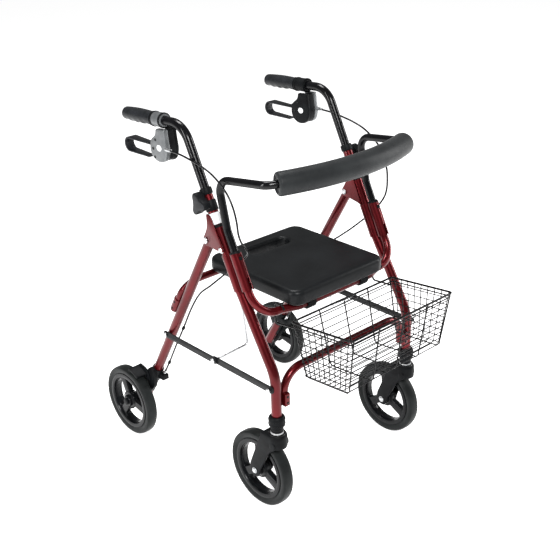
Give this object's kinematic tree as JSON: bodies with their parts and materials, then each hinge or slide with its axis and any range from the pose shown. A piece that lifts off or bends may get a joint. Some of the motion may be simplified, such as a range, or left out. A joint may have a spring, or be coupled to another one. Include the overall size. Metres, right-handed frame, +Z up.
{
  "type": "rollator walker",
  "caption": "Folding four-wheeled walking frame with a lift-up seat, padded backrest bar, wire basket, loop brakes and height-adjustable handles.",
  "frame": {"origin": "on the floor, under the middle of the bounding box", "axes": "+Z up; the walker's front (basket and swivel wheels) faces -Y; the user's right is -X"},
  "size_m": [0.602, 0.837, 0.9366],
  "materials": {
    "red_paint": "candy red metallic gloss",
    "black_paint": "gloss black",
    "link_steel": "satin black",
    "black_plastic": "satin",
    "seat_plastic": "fine texture, satin",
    "pad_foam": "skinned foam, soft sheen",
    "tyre_rubber": "matte",
    "grip_rubber": "matte",
    "silver_plastic": "silver grey",
    "zinc": "zinc plated",
    "basket_wire": "black coated wire"
  },
  "bodies": {
    "frame": {"front_leg_right": "red_paint", "front_leg_left": "red_paint", "side_plate_inner_right": "red_paint", "side_plate_inner_left": "red_paint", "side_plate_outer_right": "red_paint", "side_plate_outer_left": "red_paint", "saddle_plate_right": "red_paint", "saddle_plate_left": "red_paint", "backrest_socket_right": "red_paint", "backrest_socket_left": "red_paint", "leg_collar_right": "black_plastic", "leg_collar_left": "black_plastic", "stem_sleeve_right": "black_plastic", "stem_sleeve_left": "black_plastic", "fold_bolt_right": "zinc", "fold_bolt_left": "zinc", "brake_cable_right": "black_plastic", "brake_cable_left": "black_plastic", "seat_carrier": "red_paint", "cross_bar": "red_paint"},
    "rear_frame": {"rear_leg_right": "red_paint", "rear_leg_left": "red_paint", "wheel_bracket_right": "black_plastic", "wheel_bracket_left": "black_plastic", "rear_arch": "red_paint"},
    "seat_body": {"seat": "seat_plastic"},
    "backrest": {"backrest_tube": "black_paint", "backrest_pad": "pad_foam"},
    "basket_body": {"basket": "basket_wire"},
    "front_brace_right": {"brace_front_right": "link_steel"},
    "rear_brace_right": {"brace_rear_right": "link_steel"},
    "lift_rod_right": {"lift_rod_right": "link_steel"},
    "rear_wheel_right": {"rear_rim_right": "black_plastic", "rear_tyre_right": "tyre_rubber"},
    "caster_right": {"caster_fork_right": "black_plastic"},
    "caster_wheel_right": {"caster_rim_right": "black_plastic", "caster_tyre_right": "tyre_rubber"},
    "brake_arm_right": {"brake_arm_right": "black_plastic"},
    "handle_right": {"handle_tube_right": "black_paint", "hand_grip_right": "grip_rubber", "brake_housing_right": "silver_plastic"},
    "brake_lever_right": {"brake_lever_right": "grip_rubber"},
    "height_knob_right": {"height_knob_right": "grip_rubber"},
    "front_brace_left": {"brace_front_left": "link_steel"},
    "rear_brace_left": {"brace_rear_left": "link_steel"},
    "lift_rod_left": {"lift_rod_left": "link_steel"},
    "rear_wheel_left": {"rear_rim_left": "black_plastic", "rear_tyre_left": "tyre_rubber"},
    "caster_left": {"caster_fork_left": "black_plastic"},
    "caster_wheel_left": {"caster_rim_left": "black_plastic", "caster_tyre_left": "tyre_rubber"},
    "brake_arm_left": {"brake_arm_left": "black_plastic"},
    "handle_left": {"handle_tube_left": "black_paint", "hand_grip_left": "grip_rubber", "brake_housing_left": "silver_plastic"},
    "brake_lever_left": {"brake_lever_left": "grip_rubber"},
    "height_knob_left": {"height_knob_left": "grip_rubber"}
  },
  "joints": [
    {"name": "fold", "type": "hinge", "parent": "frame", "child": "rear_frame", "pos_m": [0, -0.0215, 0.665], "axis": [-1, 0, 0], "range_deg": [0, 28], "deforming": ["brake_cable_right", "brake_cable_left"]},
    {"name": "seat_hinge", "type": "hinge", "parent": "frame", "child": "seat_body", "pos_m": [0, -0.1985, 0.5125], "axis": [1, 0, 0], "range_deg": [0, 44.4]},
    {"name": "backrest_lift", "type": "slide", "parent": "frame", "child": "backrest", "axis": [0, 0.4399, 0.898], "range_m": [0, 0.035]},
    {"name": "basket_lift", "type": "slide", "parent": "frame", "child": "basket_body", "axis": [0, 0, 1], "range_m": [0, 0.005]},
    {"name": "brace_front_right_pivot", "type": "hinge", "parent": "frame", "child": "front_brace_right", "pos_m": [-0.2477, -0.2305, 0.35], "axis": [1, 0, 0], "range_deg": [0, 40]},
    {"name": "brace_rear_right_pivot", "type": "hinge", "parent": "rear_frame", "child": "rear_brace_right", "pos_m": [-0.2511, 0.1665, 0.35], "axis": [-1, 0, 0], "range_deg": [0, 40.3]},
    {"name": "lift_rod_right_pivot", "type": "hinge", "parent": "front_brace_right", "child": "lift_rod_right", "pos_m": [-0.2477, -0.0285, 0.35], "axis": [-1, 0, 0], "range_deg": [0, 37.5]},
    {"name": "rear_wheel_right_spin", "type": "hinge", "parent": "rear_frame", "child": "rear_wheel_right", "pos_m": [-0.279, 0.3185, 0.1], "axis": [1, 0, 0], "continuous": true},
    {"name": "caster_right_swivel", "type": "hinge", "parent": "frame", "child": "caster_right", "pos_m": [-0.233, -0.2325, 0.23], "axis": [0, 0, 1], "continuous": true},
    {"name": "caster_right_spin", "type": "hinge", "parent": "caster_right", "child": "caster_wheel_right", "pos_m": [-0.233, -0.1725, 0.1], "axis": [1, 0, 0], "continuous": true},
    {"name": "handle_right_height", "type": "slide", "parent": "frame", "child": "handle_right", "axis": [0, 0.4399, 0.898], "range_m": [-0.095, 0.02], "deforming": ["brake_cable_right"]},
    {"name": "brake_lever_right_squeeze", "type": "hinge", "parent": "handle_right", "child": "brake_lever_right", "pos_m": [-0.233, 0.1515, 0.872], "axis": [1, 0, 0], "range_deg": [0, 6], "stiffness_Nm_per_rad": 2, "springref_deg": -3.44},
    {"name": "brake_arm_right_pivot", "type": "hinge", "parent": "rear_frame", "child": "brake_arm_right", "pos_m": [-0.2586, 0.2605, 0.184], "axis": [-1, 0, 0], "range_deg": [0, 5.4]},
    {"name": "height_knob_right_turn", "type": "hinge", "parent": "frame", "child": "height_knob_right", "pos_m": [-0.26, -0.02341, 0.75763], "axis": [1, 0, 0], "continuous": true},
    {"name": "brace_front_left_pivot", "type": "hinge", "parent": "frame", "child": "front_brace_left", "pos_m": [0.2477, -0.2305, 0.35], "axis": [1, 0, 0], "range_deg": [0, 40]},
    {"name": "brace_rear_left_pivot", "type": "hinge", "parent": "rear_frame", "child": "rear_brace_left", "pos_m": [0.2511, 0.1665, 0.35], "axis": [-1, 0, 0], "range_deg": [0, 40.3]},
    {"name": "lift_rod_left_pivot", "type": "hinge", "parent": "front_brace_left", "child": "lift_rod_left", "pos_m": [0.2477, -0.0285, 0.35], "axis": [-1, 0, 0], "range_deg": [0, 37.5]},
    {"name": "rear_wheel_left_spin", "type": "hinge", "parent": "rear_frame", "child": "rear_wheel_left", "pos_m": [0.279, 0.3185, 0.1], "axis": [1, 0, 0], "continuous": true},
    {"name": "caster_left_swivel", "type": "hinge", "parent": "frame", "child": "caster_left", "pos_m": [0.233, -0.2325, 0.23], "axis": [0, 0, 1], "continuous": true},
    {"name": "caster_left_spin", "type": "hinge", "parent": "caster_left", "child": "caster_wheel_left", "pos_m": [0.233, -0.1725, 0.1], "axis": [1, 0, 0], "continuous": true},
    {"name": "handle_left_height", "type": "slide", "parent": "frame", "child": "handle_left", "axis": [0, 0.4399, 0.898], "range_m": [-0.095, 0.02], "deforming": ["brake_cable_left"]},
    {"name": "brake_lever_left_squeeze", "type": "hinge", "parent": "handle_left", "child": "brake_lever_left", "pos_m": [0.233, 0.1515, 0.872], "axis": [1, 0, 0], "range_deg": [0, 6], "stiffness_Nm_per_rad": 2, "springref_deg": -3.44},
    {"name": "brake_arm_left_pivot", "type": "hinge", "parent": "rear_frame", "child": "brake_arm_left", "pos_m": [0.2586, 0.2605, 0.184], "axis": [-1, 0, 0], "range_deg": [0, 5.4]},
    {"name": "height_knob_left_turn", "type": "hinge", "parent": "frame", "child": "height_knob_left", "pos_m": [0.26, -0.02341, 0.75763], "axis": [1, 0, 0], "continuous": true}
  ],
  "couplings": [
    {"joint": "seat_hinge", "follows": "fold", "ratio": 1.5842},
    {"joint": "brace_front_right_pivot", "follows": "fold", "ratio": 1.427},
    {"joint": "brace_rear_right_pivot", "follows": "fold", "ratio": 1.4374},
    {"joint": "lift_rod_right_pivot", "follows": "fold", "ratio": 1.3375},
    {"joint": "brake_arm_right_pivot", "follows": "brake_lever_right_squeeze", "ratio": 0.9},
    {"joint": "brace_front_left_pivot", "follows": "fold", "ratio": 1.427},
    {"joint": "brace_rear_left_pivot", "follows": "fold", "ratio": 1.4374},
    {"joint": "lift_rod_left_pivot", "follows": "fold", "ratio": 1.3375},
    {"joint": "brake_arm_left_pivot", "follows": "brake_lever_left_squeeze", "ratio": 0.9}
  ]
}
